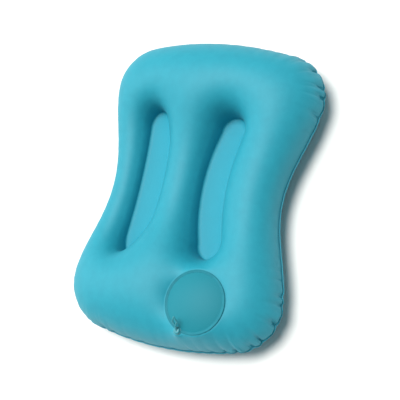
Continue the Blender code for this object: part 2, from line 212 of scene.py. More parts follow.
def island_loop(shape, centre_y, bow, step):
    """A long welded island with round ends, its middle moved across by bow. The narrow-side one tapers."""
    half = shape.island_half_width
    straight = shape.island_half_length - half
    points = []
    for side, start in ((-1, -straight), (1, straight)):
        x = start * (1 - 2 * np.arange(60) / 60)
        across = centre_y + bow * (1 - (x / straight) ** 2) + side * half
        points.append(np.column_stack([x, across]))
        turn = side * math.pi / 2 + math.pi * np.arange(24) / 24
        points.append(np.column_stack([-start + half * np.cos(turn), centre_y + half * np.sin(turn)]))
    loop = np.vstack(points)
    tail = np.clip((loop[:, 0] - shape.island_half_length + ISLAND_TAIL) / ISLAND_TAIL, 0, 1)
    nose = np.clip((-loop[:, 0] - shape.island_half_length + ISLAND_TAIL) / ISLAND_TAIL, 0, 1)
    outer = centre_y - half
    if centre_y < 0:
        share = NARROW_SHARE - TAIL_TAPER * tail ** 1.5 - NOSE_TAPER * nose
        loop[:, 1] = outer + (loop[:, 1] - outer) * share
        loop[:, 0] += TAIL_REACH * tail
    else:
        loop[:, 1] = outer + (loop[:, 1] - outer) * ROLL_SHARE
    loop[:, 0] += shape.island_shift
    return resampled(loop, step)


def circle(centre, radius, step):
    """A round loop with points about step apart."""
    angle = np.linspace(0, math.tau, max(int(math.tau * radius / step), 16), endpoint=False)
    return np.column_stack([centre[0] + radius * np.cos(angle), centre[1] + radius * np.sin(angle)])


def within(points, loop):
    """Even-odd test of many points against a closed loop."""
    inside = np.zeros(len(points), bool)
    a, b = loop, np.roll(loop, -1, axis=0)
    for (ax, ay), (bx, by) in zip(a, b):
        if ay == by:
            continue
        spans = (ay > points[:, 1]) != (by > points[:, 1])
        inside ^= spans & (ax + (points[:, 1] - ay) * (bx - ax) / (by - ay) > points[:, 0])
    return inside


def nearest(points, samples):
    """Index of the nearest sample to each point, and its distance."""
    index, distance = np.zeros(len(points), int), np.zeros(len(points))
    for start in range(0, len(points), 2000):
        part = points[start:start + 2000]
        apart = np.hypot(part[:, None, 0] - samples[None, :, 0], part[:, None, 1] - samples[None, :, 1])
        index[start:start + 2000] = apart.argmin(1)
        distance[start:start + 2000] = apart.min(1)
    return index, distance


def cut_pattern(shape, seam, fine, coarse, holes, lands):
    """Triangulates the cutting pattern: fine beside the welds, coarse in the middle."""
    islands = [island_loop(shape, y, bow, 1.3 * fine) for y, bow in ISLANDS]
    edge = offset(seam, TRIMMED_FLANGE)
    bounds = [edge, seam] + islands + holes
    loose = [offset(seam, TRIMMED_FLANGE / 2)]
    for k in range(1, WALL_RINGS + 1):
        ring = offset(seam, -WALL_FIRST * k ** 2)
        if k % 2:
            ring = (ring + np.roll(ring, 1, axis=0)) / 2
        loose.append(ring)
        if k <= ISLAND_RINGS:
            loose += [offset(island, WALL_FIRST * k ** 2) for island in islands]
    for land, radius in lands:
        loose += [circle(land, radius + extra, fine) for extra in (0, 0.001, 0.0025, 0.0045)]
    loose = np.vstack(loose)
    reach = int(shape.length / coarse)
    column, row = np.meshgrid(np.arange(-reach, reach), np.arange(-reach, reach))
    grid = np.column_stack([(row * math.sqrt(0.75) * coarse).ravel(),
                            ((column + 0.5 * (row % 2)) * coarse).ravel()])
    grid = grid[seam_depth(grid[:, 0], grid[:, 1], shape) > WALL_FIRST * WALL_RINGS ** 2 + 0.4 * coarse]
    grid = grid[nearest(grid, loose)[1] > 0.6 * coarse]
    for island in islands:
        grid = grid[~within(grid, offset(island, 0.3 * coarse))]
    loose = loose[seam_depth(loose[:, 0], loose[:, 1], shape) > -0.9 * TRIMMED_FLANGE]
    points = np.vstack(bounds + [loose, grid])
    edges, start = [], 0
    for loop in bounds:
        edges += [(start + k, start + (k + 1) % len(loop)) for k in range(len(loop))]
        start += len(loop)
    made = delaunay_2d_cdt([Vector(p) for p in points], edges, [], 0, 1e-9)
    flat = np.array([tuple(v) for v in made[0]])
    triangles = np.array([tuple(f) for f in made[2]])
    centre = flat[triangles].mean(axis=1)
    keep = within(centre, edge)
    for hole in holes:
        keep &= ~within(centre, hole)
    triangles = triangles[keep]
    corner = flat[triangles]
    turn = np.cross(corner[:, 1] - corner[:, 0], corner[:, 2] - corner[:, 0])
    triangles[turn < 0] = triangles[turn < 0][:, ::-1]
    return flat, triangles, islands


def inflate(points, triangles, fixed, value):
    """Membrane under even pressure, by conjugate gradients. fixed points keep the value given."""
    count = len(points)
    corner = points[triangles]
    load = np.zeros(count)
    first, second, weight = [], [], []
    area = np.abs(np.cross(corner[:, 1] - corner[:, 0], corner[:, 2] - corner[:, 0])) / 2
    for k in range(3):
        a, b = corner[:, (k + 1) % 3] - corner[:, k], corner[:, (k + 2) % 3] - corner[:, k]
        first.append(triangles[:, (k + 1) % 3])
        second.append(triangles[:, (k + 2) % 3])
        weight.append((a * b).sum(1) / np.maximum(4 * area, 1e-12))
        load += np.bincount(triangles[:, k], area / 3, count)
    first, second, weight = map(np.concatenate, (first, second, weight))
    total = np.bincount(first, weight, count) + np.bincount(second, weight, count)

    def pull(v):
        return (total * v - np.bincount(first, weight * v[second], count)
                - np.bincount(second, weight * v[first], count))

    rise = np.where(fixed, value, 0.0)
    left = np.where(fixed, 0.0, load - pull(rise))
    scale = 1 / np.maximum(total, 1e-9)
    ahead = left * scale
    step = ahead.copy()
    size = first_size = left @ ahead
    for _ in range(3000):
        drag = np.where(fixed, 0.0, pull(step))
        length = size / (step @ drag)
        rise += length * step
        left -= length * drag
        ahead = left * scale
        size_after = left @ ahead
        if size_after < 1e-9 * first_size:
            break
        step = ahead + step * size_after / size
        size = size_after
    return rise


# ---------------------------------------------------------------- skins

GATHER_SPAN = 0.022             # the seam's turning is averaged over this length
SEAM_STEP = 0.002               # spacing of the seam where its gathers are worked out
PINCH_SPACING = 0.0205          # mean distance between the creases along the seam
PINCH_DEPTH = 0.0066            # how far the cloth between two creases swells, at full gather
PINCH_WIDTH = 0.0013            # half width of a crease's valley
DRAW_IN = 0.0024                # how far a full crease pulls the seam inwards
RIPPLE_WAVE = 0.020             # length of the seam's own up and down ripple
RIPPLE_HEIGHT = 0.0013
SEAM_FADE = 0.012               # ripple and draw-in fade over this distance from the seam
LAND_FADE = 0.012               # creases come in over this distance from a level land
HALF_GAP = 0.0002               # from the seam plane to each skin
UNDER_SHARE = 0.3               # creases of the underside, as a share of the top's
ISLAND_UNDER_SHARE = 0.2        # crown of an island on the underside, as a share of the top's
GROWTH = 0.05                   # how much larger the cloth is cut where it is gathered
CLOTH_FRAMES = 10
CLOTH_CAP = 0.012               # most that a point may move as cloth
REST_HEIGHT = 0.0005            # of the underside's level patches
SEED = 11
FINE_STEP = 0.0021              # points of the pattern beside the welds
TOP_STEP = 0.0042               # and in the middle of each skin
BOTTOM_STEP = 0.0060
LAMINATE = 0.0004               # thickness of the knit with its film


def gathers(seam):
    """How much cloth is gathered at evenly spaced points of the seam, from 0 to 1."""
    step = np.hypot(*(np.roll(seam, -1, axis=0) - seam).T).mean()
    normal = outwards(seam)
    ahead, behind = np.roll(normal, -2, axis=0), np.roll(normal, 2, axis=0)
    turning = np.arcsin(np.clip(behind[:, 0] * ahead[:, 1] - behind[:, 1] * ahead[:, 0], -1, 1)) / (4 * step)
    span = max(int(GATHER_SPAN / step), 1)
    kernel = np.hanning(2 * span + 1)
    padded = np.concatenate([turning[-span:], turning, turning[:span]])
    smooth = np.convolve(padded, kernel / kernel.sum(), "valid")
    # Convex corners gather most, the roll side more than the narrow side, and the two ends a little.
    corners = np.clip((smooth + 0.6) / 13.0, 0, 1)
    roll_side = np.clip((seam[:, 1] + 0.06) / 0.12, 0, 1)
    pump_end = np.clip((seam[:, 0] - 0.17) / 0.02, 0, 1) * np.clip(np.abs(seam[:, 1] - 0.03) / 0.10, 0, 1)
    far_end = np.clip((-seam[:, 0] - 0.17) / 0.02, 0, 1) * np.clip(seam[:, 1] / 0.10, 0, 1)
    return np.clip(corners * (0.2 + 0.8 * roll_side) + 0.45 * pump_end + 0.3 * far_end + 0.05, 0, 1)


def seam_points(shape, fine):
    """The seam, with points closer together where it is gathered: points, distance along, gather, total."""
    even = seam_loop(shape, SEAM_STEP)
    gather = gathers(even)
    along = np.arange(len(even) + 1) * SEAM_STEP
    total = np.hypot(*(np.roll(even, -1, axis=0) - even).T).sum()
    along *= total / along[-1]
    thick = 1 / (1.35 - 0.8 * np.append(gather, gather[0]))      # points per length, most at full gather
    share = np.concatenate([[0.0], np.cumsum((thick[1:] + thick[:-1]) / 2)])
    count = int(total / fine)
    where = np.interp(np.arange(count) / count, share / share[-1], along)
    closed = np.vstack([even, even[:1]])
    points = np.column_stack([np.interp(where, along, closed[:, k]) for k in range(2)])
    return points, where, np.interp(where, along, np.append(gather, gather[0])), total


def ripple(along, total, seed, wave):
    """A smooth random wave round the seam, from about -1 to 1."""
    rng = np.random.default_rng(seed)
    made = np.zeros(len(along))
    for _ in range(24):
        turns = round(total / (wave * rng.uniform(0.7, 1.7)))
        made += rng.uniform(-1, 1) * np.sin(math.tau * turns * along / total + rng.uniform(0, math.tau))
    return made / 3.4


def pinch_places(total, seed):
    """Where the seam is pinched, and how strongly, how far up and how slanted each crease is."""
    rng = np.random.default_rng(seed)
    places = [0.0]
    while places[-1] < total - 1.6 * PINCH_SPACING:
        places.append(places[-1] + PINCH_SPACING * rng.uniform(0.6, 1.45))
    count = len(places)
    return (np.array(places), rng.uniform(0.45, 1.0, count), rng.uniform(0.004, 0.011, count),
            rng.uniform(-0.35, 0.35, count))


def lobes(along, climb, total, seed):
    """Swelling between the pinches: cusped valleys at the pinches, fading as the wall climbs."""
    places, size, reach, slant = pinch_places(total, seed)
    which = np.searchsorted(places, along, "right") - 1
    at = (along - slant[which] * np.clip(climb - 0.002, 0, 0.03)) % total
    which = np.searchsorted(places, at, "right") - 1
    gap = np.append(places[1:], total)[which] - places[which]
    share = (at - places[which]) / gap
    near = np.where(share < 0.5, which, (which + 1) % len(places))
    fade = np.exp(-np.maximum(climb - 0.004, 0) / reach[near]) * np.clip(climb / 0.0025, 0, 1)
    swell = np.sin(np.pi * share) ** 0.6 - 0.45
    pinch = np.exp(-(np.minimum(share, 1 - share) * gap / PINCH_WIDTH) ** 2)
    return fade * size[near] * (swell - 0.55 * pinch)


def pinch_at(along, total, seed):
    """1 at each pinch of the seam, falling to 0 between them."""
    places, size = pinch_places(total, seed)[:2]
    apart = np.abs((along[:, None] - places[None, :] + total / 2) % total - total / 2)
    return size[apart.argmin(1)] * np.exp(-(apart.min(1) / 0.003) ** 2)


def billow(piece, pinned, excess, growth, frames, cap):
    """Settles the drawn skin as cloth under pressure, a slight move. excess marks where it is cut larger."""
    pin = piece.vertex_groups.new(name="pin")
    pin.add(np.nonzero(pinned)[0].tolist(), 1.0, "REPLACE")
    grow = piece.vertex_groups.new(name="grow")
    for level in range(1, 21):
        chosen = np.nonzero(np.round(excess * 20).astype(int) == level)[0]
        if len(chosen):
            grow.add(chosen.tolist(), level / 20, "REPLACE")
    start = np.zeros(len(piece.data.vertices) * 3)
    piece.data.vertices.foreach_get("co", start)
    cloth = piece.modifiers.new("billow", "CLOTH")
    # A light, stiff laminate that stretches little and bends freely, damped so that it comes to rest.
    rules = cloth.settings
    rules.quality = 4
    rules.mass = 0.12
    rules.air_damping = 2.0
    rules.tension_stiffness = 60
    rules.compression_stiffness = 60
    rules.shear_stiffness = 20
    rules.bending_stiffness = 0.02
    rules.tension_damping = rules.compression_damping = rules.shear_damping = 10
    rules.use_pressure = True
    rules.uniform_pressure_force = 12.0
    rules.vertex_group_mass = "pin"
    rules.vertex_group_shrink = "grow"
    rules.shrink_min = 0.0
    rules.shrink_max = -growth
    rules.effector_weights.gravity = 0
    cloth.collision_settings.use_collision = False
    cloth.point_cache.frame_start = 1
    cloth.point_cache.frame_end = frames
    scene = bpy.context.scene
    for step in range(1, frames + 1):
        scene.frame_set(step)
    seen = piece.evaluated_get(bpy.context.evaluated_depsgraph_get())
    end = np.zeros(len(start))
    seen.data.vertices.foreach_get("co", end)
    piece.modifiers.remove(cloth)
    scene.frame_set(1)
    moved = (end - start).reshape(-1, 3)
    far = np.linalg.norm(moved, axis=1)
    moved *= np.minimum(1, cap / np.maximum(far, 1e-9))[:, None]
    piece.data.vertices.foreach_set("co", (start.reshape(-1, 3) + moved).ravel())
    piece.vertex_groups.clear()
    piece.data.update()


def skin(name, shape, upwards, fine, coarse, holes, lands, land_height, loft):
    """One skin of the pillow, drawn as an even membrane with creases at its seam, then settled as cloth."""
    seam, seam_along, seam_gather, total = seam_points(shape, fine)
    points, triangles, islands = cut_pattern(shape, seam, fine, coarse, holes, lands)
    fixed = seam_depth(points[:, 0], points[:, 1], shape) < WALL_FIRST / 2
    for island in islands:
        fixed |= within(points, offset(island, 1e-5))
    value = np.zeros(len(points))
    for land, radius in lands:
        level = np.hypot(*(points - np.array(land)).T) < radius + 1e-5
        fixed |= level
        value[level] = (land_height / loft) ** 2 / 2
    height = loft * np.sqrt(2 * np.maximum(inflate(points, triangles, fixed, value), 0))
    index, away = nearest(points, seam)
    depth = np.where(seam_depth(points[:, 0], points[:, 1], shape) < 0, -away, away)
    along = seam_along[index]
    gather = seam_gather[index]
    near_seam = np.exp(-np.maximum(depth, 0) / SEAM_FADE)
    beside = np.full(len(points), 1.0)
    for island in islands:
        to_weld = nearest(points, island)[1]
        inside = within(points, island)
        share = 1 - np.minimum(to_weld / (0.9 * shape.island_half_width), 1)
        crown = ISLAND_CROWN * (1 - share ** 2) * (1 if upwards > 0 else ISLAND_UNDER_SHARE)
        height += np.where(inside, crown, 0)
        beside = np.minimum(beside, np.where(inside, 1.0, to_weld))
    z = SEAM_HEIGHT + upwards * (HALF_GAP + height)
    z += ripple(along, total, SEED, RIPPLE_WAVE) * (0.15 + gather) * RIPPLE_HEIGHT * near_seam
    drawn_in = pinch_at(along, total, SEED + 1) * gather * DRAW_IN * near_seam

    mesh = bpy.data.meshes.new(name)
    mesh.from_pydata([(x, y, h) for (x, y), h in zip(points, z)], [], triangles.tolist())
    if upwards < 0:
        mesh.flip_normals()
    mesh.shade_smooth()
    mesh.update()
    normals = np.zeros(len(points) * 3)
    mesh.vertex_normals.foreach_get("vector", normals)
    climb = np.where(depth > 0, np.hypot(depth, height), 0)
    push = PINCH_DEPTH * (1.0 if upwards > 0 else UNDER_SHARE) * gather * lobes(along, climb, total, SEED + 1)
    for land, radius in lands:
        push *= np.clip((np.hypot(*(points - np.array(land)).T) - radius) / LAND_FADE, 0, 1)
    spots = np.column_stack([points, z]) + normals.reshape(-1, 3) * push[:, None]
    spots[:, :2] -= outwards(seam)[index] * drawn_in[:, None]
    mesh.vertices.foreach_set("co", spots.ravel())
    made = bpy.data.objects.new(name, mesh)
    bpy.context.collection.objects.link(made)
    side = "top" if upwards > 0 else "bottom"
    colours = bpy.context.scene.pillow_colours
    mesh.materials.append(laminated_knit("laminated_knit_" + side, colours.knit, colours.knit_worn))
    mesh.materials.append(heat_weld("heat_weld_" + side, colours.weld))
    # The third finish is painted shade: the dark strip along the crease at the seam.
    mesh.materials.append(heat_weld("seam_shade_line_" + side, colours.seam_shade_line))
    welded = np.zeros(len(triangles), int)
    middle = points[triangles].mean(1)
    inwards = seam_depth(middle[:, 0], middle[:, 1], shape)
    # Index 2 paints the inner half of the flange dark, as the shade in the crease under the skin's wall.
    welded[(inwards < 0) & (inwards > -TRIMMED_FLANGE / 2)] = 2
    for island in islands:
        welded[within(middle, island)] = 1
    mesh.polygons.foreach_set("material_index", welded)
    mesh.update()
    excess = np.exp(-np.maximum(depth - 0.003, 0) / 0.016) * gather
    excess = np.maximum(excess, np.exp(-beside / 0.020))
    for land, radius in lands:
        apart = np.hypot(*(points - np.array(land)).T) - radius
        excess *= np.clip(apart / LAND_FADE, 0, 1)
    billow(made, fixed, excess, GROWTH, CLOTH_FRAMES, CLOTH_CAP)
    return made


def rest_flat(piece):
    """Presses the underside level where the pillow lies on the ground."""
    spots = np.zeros(len(piece.data.vertices) * 3)
    piece.data.vertices.foreach_get("co", spots)
    spots = spots.reshape(-1, 3)
    soft = 0.0006                   # how gently the level patch runs out
    clear = spots[:, 2] - REST_HEIGHT
    eased = np.log1p(np.exp(np.minimum(clear / soft, 30))) * soft
    spots[:, 2] = REST_HEIGHT + np.where(clear / soft > 30, clear, eased)
    piece.data.vertices.foreach_set("co", spots.ravel())
    piece.data.update()


# ---------------------------------------------------------------- materials

def linear(code):
    """An sRGB hex colour as linear RGBA."""
    parts = [int(code[k:k + 2], 16) / 255 for k in (1, 3, 5)]
    return (*[p / 12.92 if p <= 0.04045 else ((p + 0.055) / 1.055) ** 2.4 for p in parts], 1.0)


def add(tree, kind, settings=(), links=()):
    """Adds a node. settings are socket or property values, links are socket and source pairs."""
    node = tree.nodes.new(kind)
    for name, value in dict(settings).items():
        if isinstance(name, int) or name in node.inputs:
            node.inputs[name].default_value = value
        else:
            setattr(node, name, value)
    for name, source in dict(links).items():
        tree.links.new(source, node.inputs[name])
    return node


def blank(name):
    """A new material with its node tree and Principled shader."""
    made = bpy.data.materials.new(name)
    made.use_nodes = True
    return made, made.node_tree, made.node_tree.nodes["Principled BSDF"]


def laminated_knit(name, dark, pale, gloss=0.45):
    """Brushed stretch knit with film laminated behind it: matte, with a soft nap that pales edge-on."""
    made, tree, shader = blank(name)
    place = add(tree, "ShaderNodeTexCoord").outputs["Object"]
    nap = add(tree, "ShaderNodeTexNoise", {"Scale": millimetres(14), "Detail": 6.0, "Roughness": 0.65},
              {"Vector": place})
    fibre = add(tree, "ShaderNodeTexNoise", {"Scale": millimetres(1.6), "Detail": 3.0, "Roughness": 0.7},
                {"Vector": place})
    share = add(tree, "ShaderNodeMapRange", {"From Min": 0.35, "From Max": 0.65},
                {"Value": nap.outputs["Fac"]})
    tint = add(tree, "ShaderNodeMix", {"data_type": "RGBA", 6: linear(dark), 7: linear(pale)},
               {0: share.outputs["Result"]})
    tree.links.new(tint.outputs[2], shader.inputs["Base Color"])
    # Real knit rows lie about 0.8 mm apart; these are 1.6 mm apart, so that they show.
    rows = add(tree, "ShaderNodeTexWave", {"wave_type": "BANDS", "bands_direction": "X",
                                           "Scale": millimetres(1.6) * math.tau / 20, "Distortion": 1.2,
                                           "Detail": 2.0, "Detail Scale": 2.0}, {"Vector": place})
    wale = add(tree, "ShaderNodeBump", {"Strength": 0.1, "Distance": 0.00025},
               {"Height": rows.outputs["Fac"]})
    fine = add(tree, "ShaderNodeBump", {"Strength": 0.25, "Distance": 0.0003},
               {"Height": fibre.outputs["Fac"], "Normal": wale.outputs["Normal"]})
    coarse = add(tree, "ShaderNodeBump", {"Strength": 0.12, "Distance": 0.0008},
                 {"Height": nap.outputs["Fac"], "Normal": fine.outputs["Normal"]})
    tree.links.new(coarse.outputs["Normal"], shader.inputs["Normal"])
    shader.inputs["Roughness"].default_value = 0.6
    shader.inputs["IOR"].default_value = 1.5
    shader.inputs["Specular IOR Level"].default_value = gloss
    shader.inputs["Sheen Weight"].default_value = 0.02
    shader.inputs["Sheen Roughness"].default_value = 0.4
    return made


def heat_weld(name, code):
    """The same laminate pressed flat by a hot bar: smoother and closer than the loose knit. In a dark colour
    it is also used as painted shade along the seam.
    """
    made, tree, shader = blank(name)
    place = add(tree, "ShaderNodeTexCoord").outputs["Object"]
    grain = add(tree, "ShaderNodeTexNoise", {"Scale": millimetres(2.2), "Detail": 4.0}, {"Vector": place})
    nap = add(tree, "ShaderNodeTexNoise", {"Scale": millimetres(24), "Detail": 3.0}, {"Vector": place})
    deep = [0.93 * part for part in linear(code)[:3]] + [1.0]
    tint = add(tree, "ShaderNodeMix", {"data_type": "RGBA", 6: deep, 7: linear(code)},
               {0: nap.outputs["Fac"]})
    tree.links.new(tint.outputs[2], shader.inputs["Base Color"])
    bump = add(tree, "ShaderNodeBump", {"Strength": 0.15, "Distance": 0.0003},
               {"Height": grain.outputs["Fac"]})
    tree.links.new(bump.outputs["Normal"], shader.inputs["Normal"])
    shader.inputs["Roughness"].default_value = 0.55
    shader.inputs["Sheen Weight"].default_value = 0.02
    shader.inputs["Specular IOR Level"].default_value = 0.32
    return made


def moulded_rubber(name, code):
    """Thermoplastic urethane from a polished mould: satin, slightly soft at its edges."""
    made, tree, shader = blank(name)
    place = add(tree, "ShaderNodeTexCoord").outputs["Object"]
    grain = add(tree, "ShaderNodeTexNoise", {"Scale": millimetres(0.9), "Detail": 3.0}, {"Vector": place})
    bump = add(tree, "ShaderNodeBump", {"Strength": 0.12, "Distance": 0.0002},
               {"Height": grain.outputs["Fac"]})
    tree.links.new(bump.outputs["Normal"], shader.inputs["Normal"])
    shader.inputs["Base Color"].default_value = linear(code)
    shader.inputs["Roughness"].default_value = 0.42
    shader.inputs["IOR"].default_value = 1.5
    return made


def open_foam(name):
    """Open-cell polyurethane foam: matte, pitted with cells."""
    made, tree, shader = blank(name)
    place = add(tree, "ShaderNodeTexCoord").outputs["Object"]
    cells = add(tree, "ShaderNodeTexVoronoi", {"Scale": millimetres(1.5)}, {"Vector": place})
    bump = add(tree, "ShaderNodeBump", {"Strength": 0.8, "Distance": 0.0008},
               {"Height": cells.outputs["Distance"]})
    tree.links.new(bump.outputs["Normal"], shader.inputs["Normal"])
    shader.inputs["Base Color"].default_value = linear("#E2D9B8")
    shader.inputs["Roughness"].default_value = 0.95
    return made


def clear_film(name):
    """Thin urethane film: milky and satin."""
    made, tree, shader = blank(name)
    place = add(tree, "ShaderNodeTexCoord").outputs["Object"]
    haze = add(tree, "ShaderNodeTexNoise", {"Scale": millimetres(6), "Detail": 3.0}, {"Vector": place})
    tint = add(tree, "ShaderNodeMix", {"data_type": "RGBA", 6: linear("#C9D6D8"), 7: linear("#B4C6CA")},
               {0: haze.outputs["Fac"]})
    tree.links.new(tint.outputs[2], shader.inputs["Base Color"])
    shader.inputs["Roughness"].default_value = 0.35
    return made


# ---------------------------------------------------------------- turned and swept pieces

def turned(name, profile, segments, centre):
    """A smooth solid turned about a vertical axis, from radius and height pairs."""
    bm = bmesh.new()
    ring = [bm.verts.new((r, 0, h)) for r, h in profile]
    edges = [bm.edges.new((ring[k], ring[(k + 1) % len(ring)])) for k in range(len(ring))]
    bmesh.ops.spin(bm, geom=ring + edges, cent=(0, 0, 0), axis=(0, 0, 1), angle=math.tau,
                   steps=segments, use_merge=True)
    bmesh.ops.remove_doubles(bm, verts=bm.verts, dist=1e-6)
    bmesh.ops.dissolve_degenerate(bm, edges=bm.edges, dist=1e-6)
    bmesh.ops.recalc_face_normals(bm, faces=bm.faces)
    bmesh.ops.translate(bm, vec=centre, verts=bm.verts)
    mesh = bpy.data.meshes.new(name)
    bm.to_mesh(mesh)
    bm.free()
    mesh.shade_smooth()
    mesh.set_sharp_from_angle(angle=math.radians(40))
    made = bpy.data.objects.new(name, mesh)
    bpy.context.collection.objects.link(made)
    return made


def rounded(corners, radius, steps=4):
    """A closed profile with each corner turned by small arcs."""
    made = []
    count = len(corners)
    for k in range(count):
        here = np.array(corners[k], float)
        back = np.array(corners[k - 1], float) - here
        ahead = np.array(corners[(k + 1) % count], float) - here
        if here[0] < 1e-9:
            made.append(tuple(here))
            continue
        cut = min(radius, 0.45 * np.linalg.norm(back), 0.45 * np.linalg.norm(ahead))
        a = here + back / np.linalg.norm(back) * cut
        b = here + ahead / np.linalg.norm(ahead) * cut
        for s in range(steps + 1):
            t = s / steps
            made.append(tuple((1 - t) ** 2 * a + 2 * t * (1 - t) * here + t ** 2 * b))
    return made


LOOP_LEAN = math.radians(45)            # of the plug's pull loop, towards the pillow's middle
LOOP_LENGTH = 0.0145                    # of the diamond, corner to corner
LOOP_STRAND = 0.0023                    # thickness of its strands


class PILLOW_OT_skins(bpy.types.Operator):
    """Top and bottom skins, welded round the outline and at the islands"""

    bl_idname = "pillow.skins"
    bl_label = "Skins"

    def execute(self, context):
        shape = context.scene.pillow_shape
        pump = (PUMP.x, PUMP.y)
        valve = (VALVE.x, VALVE.y)
        opening = (cover_high.x - cover_low.x) / 2 + 0.0008
        land = (rim_high.x - rim_low.x) / 2 + 0.0012
        holes = [circle(pump, opening, 0.002), circle(valve, 0.0047, 0.001)]
        lands = [(pump, land), (valve, (seat_high.x - seat_low.x) / 2 + 0.0012)]
        top = skin("top_skin", shape, 1, FINE_STEP, TOP_STEP, holes, lands,
                   shape.land_height, shape.top_loft)
        bottom = skin("bottom_skin", shape, -1, FINE_STEP, BOTTOM_STEP, [], [], 0, shape.bottom_loft)
        rest_flat(bottom)
        for piece, node, slot in ((top, "top_panel", "top_knit"), (bottom, "bottom_panel", "bottom_knit")):
            smooth = piece.modifiers.new("smooth", "SUBSURF")
            smooth.levels = smooth.render_levels = 1
            thick = piece.modifiers.new("laminate", "SOLIDIFY")
            thick.thickness = LAMINATE
            thick.offset = 0.0
            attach(piece, "pillow")
            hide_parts(node)
        return {"FINISHED"}


RIM_INNER = 0.0400                      # the cover's edge lies on the rim's inner lip
RIM_LIFT = 0.0003                       # rim's underside above the skin's land
RIM_BAND = 0.0013                       # height of the rim's flat band
RIM_BEAD = 0.0005                       # of the bead on it
RIM_LIP = 0.0022                        # how far the lip reaches under the cover
COVER_WALL = 0.0006
COVER_GLOSS = 0.28                      # specular level: drier than the stretched skin


class PILLOW_OT_pump(bpy.types.Operator):
    """Pump cover, its welded rim and the foam that lifts it"""

    bl_idname = "pillow.pump"
    bl_label = "Pump"

    def execute(self, context):
        colours = context.scene.pillow_colours
        rim_radius = (rim_high.x - rim_low.x) / 2
        inner, base, band = RIM_INNER, RIM_LIFT, RIM_BAND
        profile = rounded([(inner - RIM_LIP, base), (rim_radius, base), (rim_radius, base + band),
                           (rim_radius - 0.0010, base + band + RIM_BEAD),
                           (rim_radius - 0.0020, base + band), (inner + 0.0010, base + band),
                           (inner - 0.0004, base + band - 0.0006),
                           (inner - RIM_LIP, base + band - 0.0005)], 0.0005)
        rim = turned("pump_rim_weld", profile, 160, PUMP)
        # The rim's darker colour is partly painted shade, standing in for the dark outline round the disc.
        rim.data.materials.append(
            laminated_knit("laminated_knit_rim_and_shade", colours.rim, colours.cover, COVER_GLOSS))
        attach(rim, "pillow")
        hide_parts("pump_rim")

        rise = cover_high.z - PUMP.z - base
        edge = base + COVER_WALL
        outer = []
        for k in range(25):
            share = 1 - k / 24
            outer.append((inner * share, edge + (rise - COVER_WALL) * (1 - share ** 2)))
        under = [(r, h - COVER_WALL) for r, h in outer[::-1]]
        under[-1] = (inner, edge - 0.0005)
        cover = turned("pump_cover_knit", outer + under, 160, PUMP)
        cover.data.materials.append(
            laminated_knit("laminated_knit_cover", colours.cover, colours.cover, COVER_GLOSS))
        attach(cover, "pillow")
        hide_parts("pump_cover")
        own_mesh(cover)

        foam_low, foam_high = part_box("pump_foam")
        radius = (foam_high.x - foam_low.x) / 2
        height = foam_high.z - foam_low.z
        block = [(0, 0), (radius, 0)]
        for k in range(13):
            share = 1 - k / 12
            block.append((radius * share, height - 0.0009 - 0.0075 * share ** 2))
        foam = turned("pump_foam_block", block, 96, Vector((PUMP.x, PUMP.y, foam_low.z)))
        foam.data.materials.append(open_foam("open_cell_foam"))
        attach(foam, "pillow")
        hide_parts("pump_foam")
        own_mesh(foam)
        return {"FINISHED"}


class PILLOW_OT_valve(bpy.types.Operator):
    """Valve seat, and the plug with its head, neck and diamond pull loop"""

    bl_idname = "pillow.valve"
    bl_label = "Valve"

    def execute(self, context):
        rubber = moulded_rubber("moulded_urethane", context.scene.pillow_colours.moulding)
        seat_radius = (seat_high.x - seat_low.x) / 2
        collar = turned("valve_collar", rounded(
            [(0.0037, -0.004), (0.0045, -0.004), (0.0046, 0.0004), (seat_radius, 0.0004),
             (seat_radius, 0.0013), (seat_radius - 0.0006, 0.0017), (0.0037, 0.0016)], 0.0005), 64, VALVE)
        collar.data.materials.append(rubber)
        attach(collar, "pillow")
        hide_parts("valve_seat")

        plug_low, plug_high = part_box("valve_plug")
        head_radius = plug_high.x - VALVE.x
        head_base = seat_high.z - VALVE.z + 0.0003
        head = turned("plug_head", rounded(
            [(0, -0.006), (0.0032, -0.006), (0.0033, head_base), (head_radius, head_base),
             (head_radius, head_base + 0.0016), (head_radius - 0.0012, head_base + 0.0029),
             (0, head_base + 0.0032)], 0.0007), 64, VALVE)
        head.data.materials.append(rubber)
        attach(head, "valve_plug")

        lean = Vector((-math.sin(LOOP_LEAN), 0, math.cos(LOOP_LEAN)))
        side = Vector((0, 1, 0))
        foot = VALVE + Vector((0, 0, head_base + 0.0022))
        tip = plug_high.z - 0.0012
        reach = (tip - foot.z) / lean.z
        neck = reach - LOOP_LENGTH
        half = (plug_high.y - plug_low.y) / 2 - 0.0015
        middle = foot + lean * (neck + LOOP_LENGTH * 0.45)
        diamond = [foot + lean * neck, middle + side * half, foot + lean * reach, middle - side * half]
        curve = bpy.data.curves.new("plug_pull", "CURVE")
        curve.dimensions = "3D"
        curve.bevel_depth = LOOP_STRAND / 2
        curve.bevel_resolution = 5
        curve.resolution_u = 10
        curve.use_fill_caps = True
        for corners, closed in ((diamond, True), ([foot, foot + lean * (neck + 0.0006)], False)):
            path = []
            for k, corner in enumerate(corners):
                if closed:
                    back, ahead = corners[k - 1], corners[(k + 1) % len(corners)]
                    path += [corner + (back - corner) * 0.22, corner, corner + (ahead - corner) * 0.22]
                else:
                    path.append(corner)
            spline = curve.splines.new("POLY" if not closed else "NURBS")
            spline.points.add(len(path) - 1)
            for point, spot in zip(spline.points, path):
                point.co = (*spot, 1.0)
                point.radius = 1.0 if closed else 1.25
            spline.use_cyclic_u = closed
            if closed:
                spline.order_u = 3
        pull = bpy.data.objects.new("plug_pull", curve)
        context.collection.objects.link(pull)
        curve.materials.append(rubber)
        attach(pull, "valve_plug")
        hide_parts("valve_plug")
        return {"FINISHED"}


